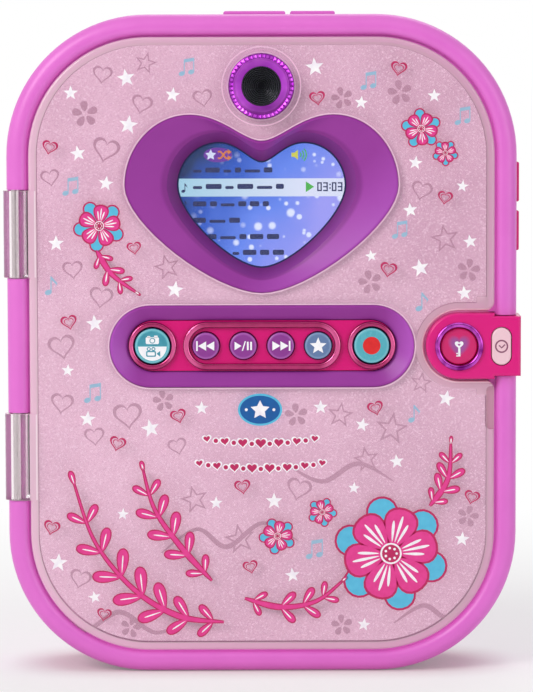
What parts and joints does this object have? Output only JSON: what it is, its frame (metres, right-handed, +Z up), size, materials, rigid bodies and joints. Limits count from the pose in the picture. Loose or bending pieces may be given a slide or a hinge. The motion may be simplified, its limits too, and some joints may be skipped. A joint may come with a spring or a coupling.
{
  "type": "electronic secret diary",
  "caption": "Book-sized electronic diary toy with a clear glitter lid on side hinges, heart-shaped screen, button row, lens, edge lock and a notebook tray.",
  "frame": {"origin": "on the flat bottom face, at mid width and at the casing's mid depth", "axes": "+X to the right as seen from the front, the front with the screen faces -Y, +Z up"},
  "size_m": [0.1729, 0.0474, 0.2212],
  "materials": {
    "casing_pink": "satin moulded",
    "clear_cover": "clear, polished, faintly tinted",
    "glitter_sheet": "fine glitter with printed motifs",
    "purple_plastic": "satin moulded",
    "magenta_plastic": "gloss moulded",
    "purple_chrome": "vacuum-plated plastic, purple",
    "pink_trim": "gloss moulded",
    "turquoise_plastic": "gloss moulded, printed",
    "purple_button": "gloss moulded, printed",
    "slate_button": "gloss moulded, printed",
    "pale_pink_plastic": "gloss moulded, printed",
    "black_plastic": "matt moulded",
    "screen_glass": "clear, polished",
    "lens_glass": "clear, coated",
    "display": "lit colour display",
    "steel": "plain",
    "silicone_grey": "matt",
    "circuit_board": "solder mask",
    "lilac_plastic": "satin moulded",
    "battery_label": "plain sleeve",
    "cover_card": "laminated card",
    "page_paper": "uncoated",
    "foam_black": "foam"
  },
  "bodies": {
    "base": {"front_frame": "casing_pink", "rear_shell": "casing_pink", "case_screws": "steel", "lower_hinge_pin": "steel", "upper_hinge_pin": "steel", "console_panel": "lilac_plastic", "heart_bezel": "purple_plastic", "screen_window": "screen_glass", "lcd_module": "display", "button_bezel": "purple_plastic", "key_plate": "magenta_plastic", "photo_button_ring": "pink_trim", "playback_ring": "pink_trim", "record_button_ring": "pink_trim", "keypad_membrane": "silicone_grey", "button_board": "circuit_board", "lens_ring": "purple_chrome", "lens_glass": "lens_glass", "lens_barrel": "black_plastic", "camera_module": "black_plastic", "microphone": "black_plastic", "lock_housing": "magenta_plastic", "key_button_ring": "purple_chrome", "lock_board": "circuit_board", "lock_solenoid": "black_plastic", "storage_tray": "lilac_plastic", "notebook_cover": "cover_card", "notebook_pages": "page_paper", "battery_tub": "casing_pink", "batteries": "battery_label", "battery_contacts": "steel", "volume_board": "circuit_board", "power_switch": "black_plastic", "audio_jack": "black_plastic", "usb_socket": "steel", "main_board": "circuit_board", "speaker": "black_plastic", "speaker_gasket": "foam_black"},
    "lid": {"lid_cover": "clear_cover", "lid_glitter_panel": "glitter_sheet", "lid_strike": "casing_pink"},
    "lock_bolt": {"lock_bolt": "steel"},
    "port_cover": {"port_cover": "casing_pink"},
    "battery_door": {"battery_door": "casing_pink", "battery_door_screw": "steel"},
    "photo_video_button": {"photo_video_button": "turquoise_plastic"},
    "previous_button": {"previous_button": "purple_button"},
    "play_pause_button": {"play_pause_button": "purple_button"},
    "next_button": {"next_button": "purple_button"},
    "favourite_button": {"favourite_button": "slate_button"},
    "record_button": {"record_button": "turquoise_plastic"},
    "key_button": {"key_button": "magenta_plastic"},
    "clock_button": {"clock_button": "pale_pink_plastic"},
    "volume_up_button": {"volume_up_button": "magenta_plastic"},
    "volume_down_button": {"volume_down_button": "magenta_plastic"},
    "power_button": {"power_button": "casing_pink"}
  },
  "joints": [
    {"name": "lid_hinge", "type": "hinge", "parent": "base", "child": "lid", "pos_m": [-0.0819, -0.0185, 0.11], "axis": [0, 0, -1], "range_deg": [0, 170]},
    {"name": "photo_video_button_press", "type": "slide", "parent": "base", "child": "photo_video_button", "axis": [0, 1, 0], "range_m": [0, 0.0008], "stiffness_N_per_m": 600},
    {"name": "previous_button_press", "type": "slide", "parent": "base", "child": "previous_button", "axis": [0, 1, 0], "range_m": [0, 0.0008], "stiffness_N_per_m": 600},
    {"name": "play_pause_button_press", "type": "slide", "parent": "base", "child": "play_pause_button", "axis": [0, 1, 0], "range_m": [0, 0.0008], "stiffness_N_per_m": 600},
    {"name": "next_button_press", "type": "slide", "parent": "base", "child": "next_button", "axis": [0, 1, 0], "range_m": [0, 0.0008], "stiffness_N_per_m": 600},
    {"name": "favourite_button_press", "type": "slide", "parent": "base", "child": "favourite_button", "axis": [0, 1, 0], "range_m": [0, 0.0008], "stiffness_N_per_m": 600},
    {"name": "record_button_press", "type": "slide", "parent": "base", "child": "record_button", "axis": [0, 1, 0], "range_m": [0, 0.0008], "stiffness_N_per_m": 600},
    {"name": "key_button_press", "type": "slide", "parent": "base", "child": "key_button", "axis": [0, 1, 0], "range_m": [0, 0.0008], "stiffness_N_per_m": 600},
    {"name": "clock_button_press", "type": "slide", "parent": "base", "child": "clock_button", "axis": [0, 1, 0], "range_m": [0, 0.0008], "stiffness_N_per_m": 600},
    {"name": "volume_up_button_press", "type": "slide", "parent": "base", "child": "volume_up_button", "axis": [-1, 0, 0], "range_m": [0, 0.0008], "stiffness_N_per_m": 600},
    {"name": "volume_down_button_press", "type": "slide", "parent": "base", "child": "volume_down_button", "axis": [-1, 0, 0], "range_m": [0, 0.0008], "stiffness_N_per_m": 600},
    {"name": "power_button_press", "type": "slide", "parent": "base", "child": "power_button", "axis": [0, 0, -1], "range_m": [0, 0.0008], "stiffness_N_per_m": 600},
    {"name": "lock_bolt_slide", "type": "slide", "parent": "base", "child": "lock_bolt", "axis": [1, 0, 0], "range_m": [0, 0.007]},
    {"name": "port_cover_hinge", "type": "hinge", "parent": "base", "child": "port_cover", "pos_m": [-0.0023, 0.0015, 0.2201], "axis": [-1, 0, 0], "range_deg": [0, 100]},
    {"name": "battery_door_slide", "type": "slide", "parent": "base", "child": "battery_door", "axis": [0, 1, 0], "range_m": [0, 0.012]}
  ]
}
